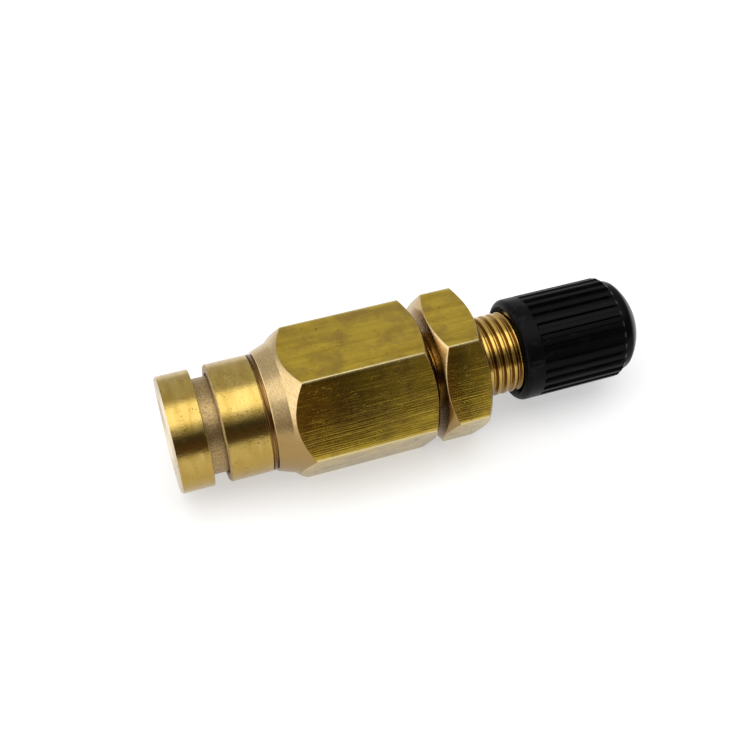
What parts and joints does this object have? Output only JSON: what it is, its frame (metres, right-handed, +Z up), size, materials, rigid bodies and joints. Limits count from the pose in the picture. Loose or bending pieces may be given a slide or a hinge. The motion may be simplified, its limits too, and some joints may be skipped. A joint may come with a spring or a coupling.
{
  "type": "push-to-connect charging valve",
  "caption": "Brass charging valve: push-in tube port, hexagon body, panel nut, threaded stem with a spring-loaded valve core and a ribbed black screw cap.",
  "frame": {"origin": "on the valve's axis, in the plane of the body's shoulder where a panel is clamped", "axes": "+X along the axis from the tube port to the dust cap, +Z up through the middle of a hexagon flat"},
  "size_m": [0.0458, 0.0146, 0.0126],
  "materials": {
    "polished_brass": "polished, fine turning marks, a few dark specks",
    "copper_ring": "polished, copper-rich",
    "bar_brass": "drawn bar, fine lengthwise streaks and dark flecks",
    "turned_brass": "satin, turned",
    "stem_brass": "satin, cut thread with bright crests",
    "spring_steel": "drawn wire",
    "black_rubber": "matt moulded rubber",
    "red_gasket": "smooth moulded",
    "nylon": "natural moulded nylon",
    "cap_plastic": "satin moulded, slightly scuffed"
  },
  "bodies": {
    "valve": {"valve_body": "bar_brass", "valve_stem": "stem_brass", "retainer_sleeve": "polished_brass", "shim_ring": "copper_ring", "backup_ring": "nylon", "tube_o_ring": "black_rubber", "tube_support": "turned_brass", "core_plug": "turned_brass", "core_barrel": "turned_brass", "core_gasket": "red_gasket", "core_spring": "spring_steel"},
    "collet": {"release_collet": "polished_brass"},
    "nut": {"panel_nut": "bar_brass"},
    "plunger": {"core_pin": "turned_brass", "pin_collar": "turned_brass", "plunger_cup": "turned_brass", "plunger_seal": "black_rubber"},
    "cap_seal": {"cap_gasket": "black_rubber"},
    "cap": {"dust_cap": "cap_plastic"}
  },
  "joints": [
    {"name": "collet_release", "type": "slide", "parent": "valve", "child": "collet", "axis": [1, 0, 0], "range_m": [0, 0.0014]},
    {"name": "nut_travel", "type": "slide", "parent": "valve", "child": "nut", "axis": [1, 0, 0], "range_m": [-0.00079, 0.00397]},
    {"name": "pin_press", "type": "slide", "parent": "valve", "child": "plunger", "axis": [-1, 0, 0], "range_m": [0, 0.0012], "stiffness_N_per_m": 800, "springref_m": -0.0015, "deforming": ["core_spring"]},
    {"name": "cap_travel", "type": "slide", "parent": "valve", "child": "cap_seal", "axis": [1, 0, 0], "range_m": [0, 0.00635]},
    {"name": "cap_turn", "type": "hinge", "parent": "cap_seal", "child": "cap", "pos_m": [0.0156, 0, 0], "axis": [1, 0, 0], "range_deg": [0, 2880]}
  ],
  "couplings": [
    {"joint": "cap_turn", "follows": "cap_travel", "rad_per_m": 7915.8}
  ]
}
